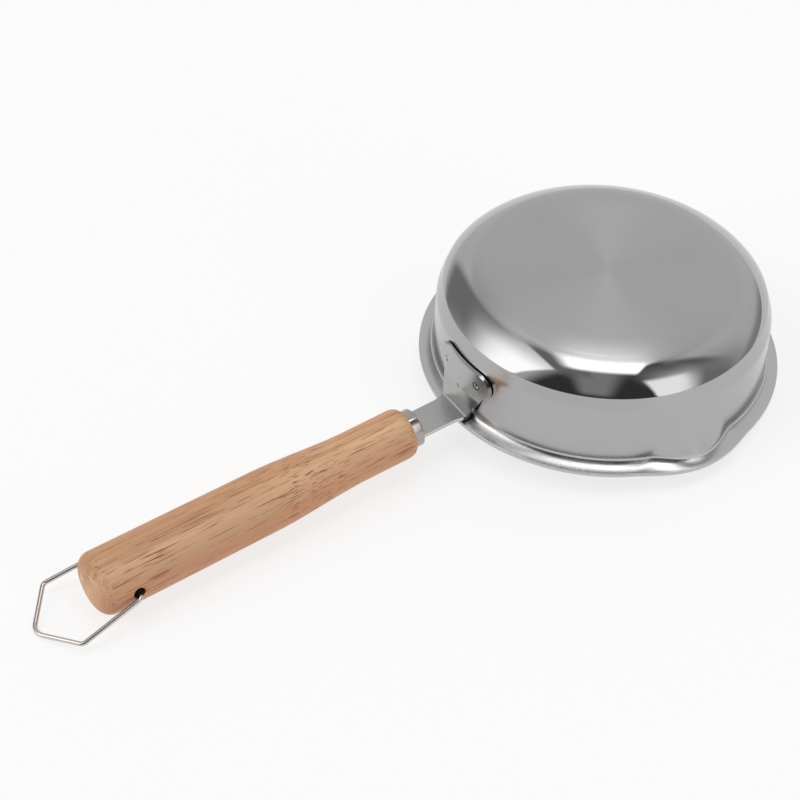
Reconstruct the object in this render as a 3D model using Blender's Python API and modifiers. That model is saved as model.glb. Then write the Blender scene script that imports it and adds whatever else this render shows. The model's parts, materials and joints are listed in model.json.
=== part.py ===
"""A small stainless steel frying pan with a turned wooden handle, lying face down as it was put aside.

The pan is modelled in its own frame: the rim plane is z = 0, the base is up, the handle runs towards -X.
A parent empty then tips it, so that it lies on the far side of its rim and on the end of its handle.
"""

import math

import bmesh
import bpy
from mathutils import Matrix, Vector

# The bowl, in metres.
RIM_RADIUS = 0.0870
BOWL_HEIGHT = 0.0535
SHEET = 0.0020
WALL_FOOT_RADIUS = 0.0807
WALL_TOP_RADIUS = 0.0802
CORNER_HEIGHT = 0.0197
FLAT_BASE_RADIUS = 0.0487
CORNER_FULLNESS = 1.85
FLANGE_FILLET = 0.0024
BOWL_STEPS = 80
CORNER_STEPS = 10
WALL_STEPS = 5

# The pouring spouts, at an angle from the side away from the handle.
SPOUT_BEARING = math.radians(93)
SPOUT_WALL_PUSH = 0.0062
SPOUT_RIM_PUSH = 0.0040
SPOUT_HEIGHT = 0.0200
SPOUT_WALL_HALF_ANGLE = math.radians(16)
SPOUT_RIM_HALF_ANGLE = math.radians(22)
SPOUT_FADE = 1.5
SPOUT_TOP_SHARE = 0.6

# Clearance between pieces that touch on the real pan, and a length too short to see, for the step at a shoulder.
SEAT = 0.0003

# The handle's bracket, a single stamping.
PLATE = 0.0020
PLATE_BELOW_CORNER = 0.0014
PLATE_HALF_WIDTH = 0.0200
PLATE_TOP_HALF_WIDTH = 0.0115
PLATE_CORNER_DROP = 0.0070
PLATE_LOW_HALF_WIDTH = 0.0160
PLATE_LOW_CORNER_DROP = 0.0054
PLATE_TAPER_POWER = 0.85
PLATE_CORNER_STEPS = 6
PLATE_LOW_CORNER_STEPS = 4
NECK_HEIGHT = 0.0165
NECK_LEAN = 0.0016
STRAP_HALF_WIDTH = 0.0081
STRAP_FLARE = 0.0014
FLARE_LENGTH = 0.0060
BEND_RADIUS = 0.0008
STRAP_OVER_RIM = 0.0012
TANG_HALF_WIDTH = 0.0042
TANG_TIP_HALF_WIDTH = 0.0021
TANG_LENGTH = 0.0680
BARB_PITCH = 0.0080
BARB_DEPTH = 0.0007
BRACKET_COLUMNS = 12

# The handle's axis falls away from the rim plane.
HANDLE_FALL = math.radians(5.05)

# The ferrule.
FERRULE_REACH = 0.0206
FERRULE_LENGTH = 0.0046
FERRULE_RADIUS = 0.0094
FERRULE_WALL = 0.0009
FERRULE_FRONT = 0.0010
FERRULE_ROUND = 0.0006

# The wooden handle, turned about the handle's axis.
WOOD_LENGTH = 0.1712
FRONT_FACE_RADIUS = 0.0098
FRONT_ROUND = 0.0045
WAIST_RADIUS = 0.0124
WAIST_AT = 0.0270
GRIP_RADIUS = 0.0150
GRIP_AT = 0.0800
END_RADIUS = 0.0155
END_ROUND = 0.0075
END_FACE_RADIUS = 0.0078
END_CROWN = 0.0008
WOOD_STEPS = 14
HANGING_HOLE_RADIUS = 0.0030
HANGING_HOLE_FROM_END = 0.0184
HANDLE_STEPS = 48

# The wire hanging loop.
WIRE_RADIUS = 0.00115
LOOP_CORNER_REACH = 0.0322
LOOP_TIP_REACH = 0.0478
LOOP_CORNER_HALF_WIDTH = 0.0206
LOOP_SIDE_CLEARANCE = 0.0006
LOOP_END_GAP = 0.0080
LOOP_SKEW = math.radians(3.4)
MOUTH_BEND = 0.0022
CORNER_BEND = 0.0030
TIP_BEND = 0.0065

# Worked out from the sizes above.
WALL_TOP = BOWL_HEIGHT - CORNER_HEIGHT
WALL_FOOT = SHEET + FLANGE_FILLET
AXIS_AT_RIM = SHEET + STRAP_OVER_RIM + PLATE / 2 / math.cos(HANDLE_FALL)
AXIS_START = Vector((-RIM_RADIUS, 0, AXIS_AT_RIM))
AXIS_ALONG = Vector((-math.cos(HANDLE_FALL), 0, -math.sin(HANDLE_FALL)))
AXIS_UP = Vector((-math.sin(HANDLE_FALL), 0, math.cos(HANDLE_FALL)))
WOOD_START = FERRULE_REACH + FERRULE_LENGTH + SEAT
SPIGOT_RADIUS = FERRULE_RADIUS - FERRULE_WALL - SEAT
SPIGOT_LENGTH = FERRULE_LENGTH - FERRULE_FRONT
BORE_RADIUS = math.hypot(TANG_HALF_WIDTH, PLATE / 2) + SEAT
BORE_DEPTH = TANG_LENGTH + SEAT
PLATE_TOP = WALL_TOP - PLATE_BELOW_CORNER
PLATE_DISTANCE = WALL_FOOT_RADIUS + SEAT + PLATE
HOLE_AT = WOOD_START + WOOD_LENGTH - HANGING_HOLE_FROM_END
LOOP_HALF_WIDTH = END_RADIUS + LOOP_SIDE_CLEARANCE + WIRE_RADIUS


def material(name, colour, roughness, metallic):
    made = bpy.data.materials.new(name)
    made.use_nodes = True
    shader = made.node_tree.nodes["Principled BSDF"]
    shader.inputs["Base Color"].default_value = (*colour, 1)
    shader.inputs["Roughness"].default_value = roughness
    shader.inputs["Metallic"].default_value = metallic
    return made


def add_object(name, mesh, finish, collection):
    mesh.materials.append(finish)
    made = bpy.data.objects.new(name, mesh)
    collection.objects.link(made)
    return made


def smooth(mesh, sharp_degrees=35):
    mesh.shade_smooth()
    mesh.set_sharp_from_angle(angle=math.radians(sharp_degrees))


def ease(t):
    t = min(max(t, 0), 1)
    return t * t * (3 - 2 * t)


def mix(a, b, t):
    return a + (b - a) * t


def arc(centre_u, centre_v, radius_u, radius_v, start, end, steps):
    """Points of an elliptical arc, with its angles in degrees."""
    points = []
    for i in range(steps + 1):
        angle = math.radians(mix(start, end, i / steps))
        points.append((centre_u + radius_u * math.cos(angle), centre_v + radius_v * math.sin(angle)))
    return points


def rounded(corners, radii, steps=5):
    """A polyline with its inner corners rounded."""
    points = [Vector(corners[0])]
    for before, corner, after, radius in zip(corners, corners[1:], corners[2:], radii):
        corner = Vector(corner)
        back = (Vector(before) - corner).normalized()
        on = (Vector(after) - corner).normalized()
        half = back.angle(on) / 2
        setback = radius / math.tan(half)
        centre = corner + (back + on).normalized() * radius / math.sin(half)
        start = (corner + back * setback - centre).normalized()
        end = (corner + on * setback - centre).normalized()
        for i in range(steps + 1):
            points.append(centre + start.slerp(end, i / steps) * radius)
    points.append(Vector(corners[-1]))
    return points


# The bowl.


def wall_radius(height):
    """Radius of the wall's outer face at a height between its foot and the corner."""
    return mix(WALL_FOOT_RADIUS, WALL_TOP_RADIUS, (height - WALL_FOOT) / (WALL_TOP - WALL_FOOT))


def bowl_profile():
    """The bowl's outer face as (radius, height) points, from the centre of the base to the rim's edge."""
    points = [(0.0, BOWL_HEIGHT), (FLAT_BASE_RADIUS / 2, BOWL_HEIGHT)]
    for i in range(CORNER_STEPS + 1):
        angle = math.radians(mix(90, 0, i / CORNER_STEPS))
        out = max(math.cos(angle), 0) ** (2 / CORNER_FULLNESS)
        up = math.sin(angle) ** (2 / CORNER_FULLNESS)
        radius = mix(FLAT_BASE_RADIUS, WALL_TOP_RADIUS, out)
        points.append((radius, mix(WALL_TOP, BOWL_HEIGHT, up)))
    spout_top = WALL_FOOT + SPOUT_HEIGHT
    for i in range(WALL_STEPS + 1):
        height = mix(spout_top, WALL_FOOT, i / WALL_STEPS)
        points.append((wall_radius(height), height))
    fillet = arc(WALL_FOOT_RADIUS + FLANGE_FILLET, WALL_FOOT, FLANGE_FILLET, FLANGE_FILLET, 180, 270, 4)
    points.extend(fillet[1:])
    points.append(((fillet[-1][0] + RIM_RADIUS) / 2, SHEET))
    points.append((RIM_RADIUS, SHEET))
    return points


def spout_push(radius, height, turn):
    """How far the press pushes a point of the bowl outwards, at an angle from the middle of the spout."""
    if height >= WALL_FOOT:
        rise = (height - WALL_FOOT) / SPOUT_HEIGHT
        push = SPOUT_WALL_PUSH * max(1 - rise, 0) ** SPOUT_FADE
        half_angle = SPOUT_WALL_HALF_ANGLE * mix(1, SPOUT_TOP_SHARE, min(rise, 1))
    else:
        reach = (radius - WALL_FOOT_RADIUS) / (RIM_RADIUS - WALL_FOOT_RADIUS)
        push = mix(SPOUT_WALL_PUSH, SPOUT_RIM_PUSH, reach)
        half_angle = mix(SPOUT_WALL_HALF_ANGLE, SPOUT_RIM_HALF_ANGLE, reach)
    if abs(turn) >= half_angle:
        return 0.0
    return push * math.cos(math.pi / 2 * turn / half_angle) ** 2


def press_spouts(body):
    for vertex in body.verts:
        radius = math.hypot(vertex.co.x, vertex.co.y)
        if radius < WALL_TOP_RADIUS:
            continue
        azimuth = math.atan2(vertex.co.y, vertex.co.x)
        turn = abs(azimuth) - SPOUT_BEARING
        scale = 1 + spout_push(radius, vertex.co.z, turn) / radius
        vertex.co.x *= scale
        vertex.co.y *= scale


def make_bowl(collection, finish):
    body = bmesh.new()
    # An edge of the rim, and not a corner between two, faces the floor, so the bowl lies steady.
    half_step = math.pi / BOWL_STEPS
    across = Vector((math.cos(half_step), math.sin(half_step), 0))
    points = [body.verts.new(across * radius + Vector((0, 0, height))) for radius, height in bowl_profile()]
    edges = [body.edges.new(pair) for pair in zip(points, points[1:])]
    bmesh.ops.spin(
        body,
        geom=points + edges,
        axis=(0, 0, 1),
        cent=(0, 0, 0),
        angle=2 * math.pi,
        steps=BOWL_STEPS,
        use_merge=True,
    )
    bmesh.ops.remove_doubles(body, verts=body.verts, dist=1e-6)
    bmesh.ops.recalc_face_normals(body, faces=body.faces)
    top = max(body.faces, key=lambda face: face.calc_center_median().z)
    if top.normal.z < 0:
        bmesh.ops.reverse_faces(body, faces=body.faces)
    press_spouts(body)
    mesh = bpy.data.meshes.new("pan_body")
    body.to_mesh(mesh)
    body.free()
    smooth(mesh)
    bowl = add_object("pan_body", mesh, finish, collection)
    sheet = bowl.modifiers.new("sheet", "SOLIDIFY")
    sheet.thickness = SHEET
    sheet.offset = -1
    sheet.use_even_offset = True
    return bowl


# The bracket, strap and tang.


def strap_surface(reach):
    """A point on the middle of the strap's upper face, at a distance along the handle's axis from the rim."""
    return AXIS_START + AXIS_ALONG * reach + AXIS_UP * (PLATE / 2)


def bend_corner():
    """Where the middle of the neck's outer face would meet the strap's upper face without a bend radius."""
    distance = PLATE_DISTANCE + NECK_LEAN
    return strap_surface((distance - RIM_RADIUS) / math.cos(HANDLE_FALL))


def plate_half_width(height):
    """Half of the plate's width at a height on the wall: an ear with round corners, then narrowing to the strap."""
    shoulder = PLATE_TOP - PLATE_CORNER_DROP
    waist = shoulder - PLATE_LOW_CORNER_DROP
    if height >= shoulder:
        t = (height - shoulder) / PLATE_CORNER_DROP
        return mix(PLATE_TOP_HALF_WIDTH, PLATE_HALF_WIDTH, math.sqrt(max(1 - t * t, 0)))
    if height >= waist:
        t = (shoulder - height) / PLATE_LOW_CORNER_DROP
        return mix(PLATE_LOW_HALF_WIDTH, PLATE_HALF_WIDTH, math.sqrt(max(1 - t * t, 0)))
    t = (waist - height) / (waist - bend_corner().z)
    return mix(PLATE_LOW_HALF_WIDTH, STRAP_HALF_WIDTH + STRAP_FLARE, min(t, 1) ** PLATE_TAPER_POWER)


def plate_rows():
    """Rows down the plate's outer face and round the bend: (place of the middle, half width, wrap round the wall)."""
    rows = []
    shoulder = PLATE_TOP - PLATE_CORNER_DROP
    heights = []
    for i in range(PLATE_CORNER_STEPS):
        heights.append(mix(shoulder, PLATE_TOP, math.cos(math.pi / 2 * i / PLATE_CORNER_STEPS)))
    for i in range(PLATE_LOW_CORNER_STEPS + 1):
        heights.append(shoulder - PLATE_LOW_CORNER_DROP * math.sin(math.pi / 2 * i / PLATE_LOW_CORNER_STEPS))
    heights.append(NECK_HEIGHT)
    for height in heights:
        rows.append((Vector((-PLATE_DISTANCE, 0, height)), plate_half_width(height), 1.0))
    corner = bend_corner()
    neck_top = rows[-1][0]
    unwrap_steps = 4
    for i in range(1, unwrap_steps + 1):
        place = neck_top.lerp(corner, i / (unwrap_steps + 1))
        rows.append((place, plate_half_width(place.z), 1 - ease(i / unwrap_steps)))
    bend = rounded((neck_top, corner, strap_surface(FLARE_LENGTH)), (BEND_RADIUS,), 3)
    for place in bend[1:-1]:
        rows.append((place, plate_half_width(place.z), 0.0))
    return rows


def strap_rows(start):
    """Rows along the strap's upper face from the bend, and down the tang to its tip."""
    rows = []
    first = (start - AXIS_START).dot(AXIS_ALONG)
    flare_steps = 5
    for i in range(1, flare_steps + 1):
        t = i / flare_steps
        rows.append((first + FLARE_LENGTH * t, STRAP_HALF_WIDTH + STRAP_FLARE * (1 - t) ** 2))
    shoulder = FERRULE_REACH + FERRULE_FRONT - SEAT
    rows.append((shoulder, STRAP_HALF_WIDTH))
    rows.append((shoulder + SEAT, TANG_HALF_WIDTH))
    tang_end = WOOD_START - SPIGOT_LENGTH + TANG_LENGTH
    barb = WOOD_START + BARB_PITCH
    while barb < tang_end - BARB_PITCH:
        rows.append((barb, TANG_HALF_WIDTH))
        rows.append((barb + SEAT, TANG_HALF_WIDTH - BARB_DEPTH))
        barb += BARB_PITCH
    rows.append((tang_end - BARB_PITCH / 2, TANG_HALF_WIDTH - BARB_DEPTH))
    rows.append((tang_end, TANG_TIP_HALF_WIDTH))
    return [(strap_surface(reach), half_width, 0.0) for reach, half_width in rows]


def make_bracket(collection, finish):
    rows = plate_rows()
    rows += strap_rows(rows[-1][0])
    grid = []
    for place, half_width, wrap in rows:
        row = []
        for j in range(BRACKET_COLUMNS + 1):
            across = half_width * mix(-1, 1, j / BRACKET_COLUMNS)
            sagitta = -place.x - math.sqrt(place.x**2 - across**2)
            row.append(place + Vector((wrap * sagitta, across, 0)))
        grid.append(row)
    body = bmesh.new()
    verts = [[body.verts.new(point) for point in row] for row in grid]
    for upper, lower in zip(verts, verts[1:]):
        for j in range(BRACKET_COLUMNS):
            body.faces.new((upper[j], upper[j + 1], lower[j + 1], lower[j]))
    mesh = bpy.data.meshes.new("handle_bracket")
    body.to_mesh(mesh)
    body.free()
    smooth(mesh)
    bracket = add_object("handle_bracket", mesh, finish, collection)
    thickness = bracket.modifiers.new("plate", "SOLIDIFY")
    thickness.thickness = PLATE
    thickness.offset = -1
    thickness.use_even_offset = True
    return bracket


# Pieces turned about the handle's axis: local +Z runs along it, away from the bowl.


def handle_frame(collection, parent):
    frame = bpy.data.objects.new("handle_axis", None)
    collection.objects.link(frame)
    frame.parent = parent
    frame.location = AXIS_START
    frame.rotation_euler = (0, -(math.pi / 2 + HANDLE_FALL), 0)
    return frame


def turned(name, profile, steps, finish, collection):
    """A piece turned from (radius, height) points, which run down its outer side from top to bottom."""
    mesh = bpy.data.meshes.new(name)
    edges = [(i, i + 1) for i in range(len(profile) - 1)]
    mesh.from_pydata([(radius, 0, height) for radius, height in profile], edges, [])
    piece = add_object(name, mesh, finish, collection)
    screw = piece.modifiers.new("turn", "SCREW")
    screw.steps = steps
    screw.render_steps = steps
    screw.use_merge_vertices = True
    screw.merge_threshold = 0.00001
    screw.use_smooth_shade = True
    return piece


def cut(piece, cutter):
    boolean = piece.modifiers.new(cutter.name, "BOOLEAN")
    boolean.operation = "DIFFERENCE"
    boolean.solver = "EXACT"
    boolean.object = cutter


def as_cutter(cutter, collection):
    for owner in cutter.users_collection:
        owner.objects.unlink(cutter)
    collection.objects.link(cutter)
    cutter.hide_render = True
    cutter.display_type = "WIRE"


def make_ferrule(collection, cutters, frame, finish):
    front = FERRULE_REACH
    back = FERRULE_REACH + FERRULE_LENGTH
    inner = FERRULE_RADIUS - FERRULE_WALL
    profile = [(0.0, front + FERRULE_FRONT), (inner, front + FERRULE_FRONT), (inner, back), (FERRULE_RADIUS, back)]
    profile += arc(FERRULE_RADIUS - FERRULE_ROUND, front + FERRULE_ROUND, FERRULE_ROUND, FERRULE_ROUND, 0, -90, 4)
    profile.append((0.0, front))
    ferrule = turned("ferrule", profile, HANDLE_STEPS, finish, collection)
    ferrule.parent = frame
    bpy.ops.mesh.primitive_cube_add(size=1)
    slot = bpy.context.object
    slot.name = "strap_slot"
    slot_size = (PLATE + 2 * SEAT, 2 * (STRAP_HALF_WIDTH + SEAT), 4 * FERRULE_FRONT, 1)
    slot.data.transform(Matrix.Diagonal(slot_size))
    slot.parent = frame
    slot.location = (0, 0, front)
    as_cutter(slot, cutters)
    cut(ferrule, slot)
    return ferrule


def wood_radius(along):
    """The handle's radius at a distance from its front face, without its rounded ends."""
    swell = ease((along - WAIST_AT) / (GRIP_AT - WAIST_AT))
    spread = min(max((along - GRIP_AT) / (WOOD_LENGTH - END_ROUND - GRIP_AT), 0), 1)
    return WAIST_RADIUS + (GRIP_RADIUS - WAIST_RADIUS) * swell + (END_RADIUS - GRIP_RADIUS) * spread


def wood_profile():
    """(radius, distance from the front face) from the far end's centre, down the outside and up the tang's bore."""
    end_start = WOOD_LENGTH - END_ROUND
    end_radius = wood_radius(end_start)
    points = [(0.0, WOOD_LENGTH), (END_FACE_RADIUS / 2, WOOD_LENGTH - END_CROWN / 4)]
    end_width = end_radius - END_FACE_RADIUS
    points += arc(END_FACE_RADIUS, end_start, end_width, END_ROUND - END_CROWN, 90, 0, 7)
    for i in range(1, WOOD_STEPS + 1):
        along = mix(end_start, FRONT_ROUND, i / WOOD_STEPS)
        points.append((wood_radius(along), along))
    front_width = wood_radius(FRONT_ROUND) - FRONT_FACE_RADIUS
    points += arc(FRONT_FACE_RADIUS, FRONT_ROUND, front_width, FRONT_ROUND, 0, -90, 6)[1:]
    points.append((SPIGOT_RADIUS, 0.0))
    points.append((SPIGOT_RADIUS, -SPIGOT_LENGTH))
    points.append((BORE_RADIUS, -SPIGOT_LENGTH))
    points.append((BORE_RADIUS, BORE_DEPTH - SPIGOT_LENGTH))
    points.append((0.0, BORE_DEPTH - SPIGOT_LENGTH + BORE_RADIUS / 2))
    return points


def make_wood(collection, cutters, frame, finish):
    profile = [(radius, WOOD_START + along) for radius, along in wood_profile()]
    wood = turned("wooden_handle", profile, HANDLE_STEPS, finish, collection)
    wood.parent = frame
    bpy.ops.mesh.primitive_cylinder_add(vertices=24, radius=HANGING_HOLE_RADIUS, depth=4 * END_RADIUS)
    hole = bpy.context.object
    hole.name = "hanging_hole"
    hole.parent = frame
    hole.location = (0, 0, HOLE_AT)
    hole.rotation_euler = (math.pi / 2, 0, 0)
    as_cutter(hole, cutters)
    cut(wood, hole)
    return wood


# How the pan lies: on the far side of its rim and on the handle.


def lying_tilt():
    """The angle between the floor and the rim plane."""
    lowest = 0.0
    samples = 80
    for i in range(samples + 1):
        along = mix(GRIP_AT, WOOD_LENGTH - END_ROUND, i / samples)
        under = AXIS_START + AXIS_ALONG * (WOOD_START + along) - AXIS_UP * wood_radius(along)
        lowest = max(lowest, math.atan2(-under.z, RIM_RADIUS - under.x))
    return lowest


# The loop: its own frame has its origin on the hinge, +X towards its tip, and +Y across the handle.


def loop_route():
    """The wire's middle line, from one end in the hole to the other. The loop is racked a little to one side."""
    racked = Matrix.Rotation(-LOOP_SKEW, 3, "Z")
    corners = [
        Vector((0, LOOP_END_GAP / 2, 0)),
        Vector((0, LOOP_HALF_WIDTH, 0)),
        racked @ Vector((LOOP_CORNER_REACH, LOOP_CORNER_HALF_WIDTH, 0)),
        racked @ Vector((LOOP_TIP_REACH, 0, 0)),
        racked @ Vector((LOOP_CORNER_REACH, -LOOP_CORNER_HALF_WIDTH, 0)),
        Vector((0, -LOOP_HALF_WIDTH, 0)),
        Vector((0, -LOOP_END_GAP / 2, 0)),
    ]
    return rounded(corners, (MOUTH_BEND, CORNER_BEND, TIP_BEND, CORNER_BEND, MOUTH_BEND))


def loop_seat():
    """The hinge's place: the wire's ends rest on the bottom of the hole across the handle."""
    drop = HANGING_HOLE_RADIUS - WIRE_RADIUS - SEAT
    return AXIS_START + AXIS_ALONG * HOLE_AT - AXIS_UP * drop


def loop_fall(tilt):
    """The angle from the rim plane down to the loop, whose tip rests on the floor."""
    seat = loop_seat()
    tip = max(point.x for point in loop_route())
    floor_under_seat = -math.tan(tilt) * (RIM_RADIUS - seat.x)
    rise = (seat.z - floor_under_seat) * math.cos(tilt) - WIRE_RADIUS - SEAT
    return tilt + math.asin(rise / tip)


def make_loop(collection, parent, finish, tilt):
    hinge = bpy.data.objects.new("loop_hinge", None)
    collection.objects.link(hinge)
    hinge.parent = parent
    hinge.location = loop_seat()
    outwards = Matrix.Rotation(math.pi, 4, "Z")
    down = Matrix.Rotation(-loop_fall(tilt), 4, "Y")
    hinge.rotation_euler = (down @ outwards).to_euler()
    curve = bpy.data.curves.new("hanging_loop", "CURVE")
    curve.dimensions = "3D"
    curve.bevel_depth = WIRE_RADIUS
    curve.bevel_resolution = 2
    curve.use_fill_caps = True
    route = loop_route()
    spline = curve.splines.new("POLY")
    spline.points.add(len(route) - 1)
    for point, place in zip(spline.points, route):
        point.co = (*place, 1)
    curve.materials.append(finish)
    loop = bpy.data.objects.new("hanging_loop", curve)
    collection.objects.link(loop)
    loop.parent = hinge
    return loop


def stand(frame, pieces):
    """Moves the frame so that the middle of the underside of all pieces is at the world's origin."""
    bpy.context.view_layer.update()
    graph = bpy.context.evaluated_depsgraph_get()
    points = []
    for piece in pieces:
        evaluated = piece.evaluated_get(graph)
        mesh = evaluated.to_mesh()
        points += [evaluated.matrix_world @ vertex.co for vertex in mesh.vertices]
        evaluated.to_mesh_clear()
    low = Vector([min(point[i] for point in points) for i in range(3)])
    high = Vector([max(point[i] for point in points) for i in range(3)])
    frame.location -= Vector(((low.x + high.x) / 2, (low.y + high.y) / 2, low.z))


def main():
    for old in list(bpy.data.objects):
        bpy.data.objects.remove(old, do_unlink=True)
    collection = bpy.data.collections.new("frying_pan")
    cutters = bpy.data.collections.new("cutters")
    bpy.context.scene.collection.children.link(collection)
    bpy.context.scene.collection.children.link(cutters)
    satin = material("satin_steel", (0.56, 0.56, 0.57), 0.32, 1.0)
    plate = material("plate_steel", (0.50, 0.50, 0.50), 0.42, 1.0)
    polished = material("polished_steel", (0.72, 0.70, 0.73), 0.12, 1.0)
    wood = material("oiled_wood", (0.60, 0.37, 0.19), 0.55, 0.0)
    wire = material("steel_wire", (0.66, 0.64, 0.64), 0.2, 1.0)
    tilt = lying_tilt()
    lying = bpy.data.objects.new("lying_frame", None)
    collection.objects.link(lying)
    lying.rotation_euler = (0, tilt, 0)
    frame = handle_frame(collection, lying)
    pieces = [
        make_bowl(collection, satin),
        make_bracket(collection, plate),
        make_ferrule(collection, cutters, frame, polished),
        make_wood(collection, cutters, frame, wood),
        make_loop(collection, lying, wire, tilt),
    ]
    for piece in pieces[:2]:
        piece.parent = lying
    stand(lying, pieces)


main()
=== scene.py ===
# %% [markdown]
# A small stainless steel frying pan with a turned wooden handle, lying face down on a pale table.
#
# The solid model of the pan is already made and packed. This lesson dresses it: it makes a finer surface for each
# piece, gives each one the finish of the real metal or wood, and lights it like a photograph for a shop.

import json
import math

import bmesh
import bpy
from mathutils import Matrix, Vector


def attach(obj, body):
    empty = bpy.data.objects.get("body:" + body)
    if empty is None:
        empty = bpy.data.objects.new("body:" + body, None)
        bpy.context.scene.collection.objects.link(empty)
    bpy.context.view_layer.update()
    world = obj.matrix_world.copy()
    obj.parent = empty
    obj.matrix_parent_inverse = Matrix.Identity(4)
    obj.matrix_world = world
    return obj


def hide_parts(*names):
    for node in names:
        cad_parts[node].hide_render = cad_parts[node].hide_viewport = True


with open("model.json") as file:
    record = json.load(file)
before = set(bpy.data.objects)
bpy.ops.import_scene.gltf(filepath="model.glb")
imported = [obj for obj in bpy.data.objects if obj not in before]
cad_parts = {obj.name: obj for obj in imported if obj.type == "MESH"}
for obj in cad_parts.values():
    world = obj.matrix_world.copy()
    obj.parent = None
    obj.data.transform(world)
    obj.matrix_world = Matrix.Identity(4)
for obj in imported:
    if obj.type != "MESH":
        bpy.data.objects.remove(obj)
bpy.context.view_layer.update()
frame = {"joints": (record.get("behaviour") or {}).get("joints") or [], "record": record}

# %% [markdown]
# The camera comes first. The photograph was taken from above the handle's side with a long lens, so the pan hardly
# shows any perspective. A long lens needs a distant camera: here it stands about 1.4 m away.

# %% The camera
camera_data = bpy.data.cameras.new("camera")
camera_data.sensor_width = 36
camera_data.lens = 135
camera_data.clip_start = 0.01
camera_data.clip_end = 10
camera = bpy.data.objects.new("camera", camera_data)
bpy.context.scene.collection.objects.link(camera)
camera.location = (-0.52859, -0.82456, 1.02597)
camera.rotation_euler = [math.radians(angle) for angle in (44.736, 1.039, -33.568)]
bpy.context.scene.camera = camera
print("camera stands", round(camera.location.length, 2), "m from the pan")

# %% [markdown]
# Every piece is made in the pan's own frame: the rim's plane is z = 0, the base is up, and the handle runs towards
# -X. The solid model lies a little tipped, on the far side of its rim and on its handle. Its record says where the
# middle of the base is and which way the base faces, and that is enough to find the pan's frame again.

# %% The pan's frame, from the record
BOWL_HEIGHT = 0.0535
base = next(mount for mount in frame["record"]["mounts"] if mount["name"] == "base_face")
pan_up = Vector(base["axis"]).normalized()
pan_across = Vector((0, 1, 0))
pan_along = pan_across.cross(pan_up)
pan_place = Vector(base["pos_m"]) - pan_up * BOWL_HEIGHT
PAN = Matrix((pan_along, pan_across, pan_up)).transposed().to_4x4()
PAN.translation = pan_place
print("pan tipped by", round(math.degrees(math.atan2(pan_up.x, pan_up.z)), 2), "degrees")


# %% [markdown]
# Four helpers for shapes. mix goes from one value to another, and ease does so with a soft start and end. arc gives
# points of a quarter circle or ellipse, which is what every rolled edge and fillet of the pan is made of. A sheet or
# a wire can't be folded sharply, so round_corner gives the arc that it takes from one straight run to the next.


# %% Helpers for shapes
def mix(a, b, t):
    return a + (b - a) * t


def ease(t):
    t = min(max(t, 0), 1)
    return t * t * (3 - 2 * t)


def arc(centre_u, centre_v, radius_u, radius_v, start, end, steps):
    points = []
    for i in range(steps + 1):
        angle = math.radians(mix(start, end, i / steps))
        points.append((centre_u + radius_u * math.cos(angle), centre_v + radius_v * math.sin(angle)))
    return points


def round_corner(before, corner, after, radius, steps):
    back = (before - corner).normalized()
    on = (after - corner).normalized()
    half = back.angle(on) / 2
    setback = radius / math.tan(half)
    centre = corner + (back + on).normalized() * radius / math.sin(half)
    start = (corner + back * setback - centre).normalized()
    end = (corner + on * setback - centre).normalized()
    return [centre + start.slerp(end, i / steps) * radius for i in range(steps + 1)]


print("a quarter circle in 8 steps has", len(arc(0, 0, 1, 1, 0, 90, 8)), "points")

# %% [markdown]
# Three helpers for pieces. A piece is made in a frame, put on the body that it moves with, and named with the solid
# that it stands for. The solid stays in the model, hidden, for contact.


# %% Helpers for pieces
def mesh_of(name, body):
    mesh = bpy.data.meshes.new(name)
    body.to_mesh(mesh)
    body.free()
    return mesh


def smooth(mesh, sharp_degrees=40):
    mesh.shade_smooth()
    mesh.set_sharp_from_angle(angle=math.radians(sharp_degrees))


def add_piece(name, data, place, body, slot, *solids):
    piece = bpy.data.objects.new(name, data)
    bpy.context.scene.collection.objects.link(piece)
    piece.matrix_world = place
    bpy.context.view_layer.update()
    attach(piece, body)
    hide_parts(*solids)
    return piece


# %% [markdown]
# The bowl is one sheet of steel, pressed in one stroke. It is turned here as on a lathe: one profile goes round the
# axis, which gives the exact, even curve that a polished corner needs to show clean reflections. The profile runs
# from the middle of the base down the outside, round the rim's cut edge and back up the inside.

# %% The bowl's sizes, in metres
RIM_RADIUS = 0.0870
SHEET = 0.0020
WALL_FOOT_RADIUS = 0.0807
WALL_TOP_RADIUS = 0.0802
FLAT_BASE_RADIUS = 0.0487
CORNER_HEIGHT = 0.0197
WALL_TOP = BOWL_HEIGHT - CORNER_HEIGHT
EDGE_ROUND = 0.0003
print("the corner rises from", round(WALL_TOP * 1000, 1), "to", BOWL_HEIGHT * 1000, "mm")

# %% [markdown]
# The flange isn't flat. It falls away from the wall, steeply at its root and less at its edge, so it mirrors the
# bright room above it. A small fillet joins it to the wall, and shows as a thin dark line at the wall's foot.

# %% The flange
FLANGE_FILLET = 0.0030
FLANGE_ROOT_FALL = 28
FLANGE_EDGE_FALL = 11
FLANGE_STEPS = 12


def flange_line():
    """The flange's upper face, from its root to its edge, built up from the edge inwards."""
    start = WALL_FOOT_RADIUS + FLANGE_FILLET * (1 - math.sin(math.radians(FLANGE_ROOT_FALL)))
    end = RIM_RADIUS - EDGE_ROUND
    run = (end - start) / FLANGE_STEPS
    points = [(end, SHEET)]
    for i in range(FLANGE_STEPS, 0, -1):
        radius, height = points[-1]
        fall = math.radians(mix(FLANGE_ROOT_FALL, FLANGE_EDGE_FALL, (i - 0.5) / FLANGE_STEPS))
        points.append((radius - run, height + run * math.tan(fall)))
    return list(reversed(points))


WALL_FOOT = flange_line()[0][1] + FLANGE_FILLET * math.cos(math.radians(FLANGE_ROOT_FALL))
print("the wall ends", round(WALL_FOOT * 1000, 2), "mm above the rim's plane")

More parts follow.
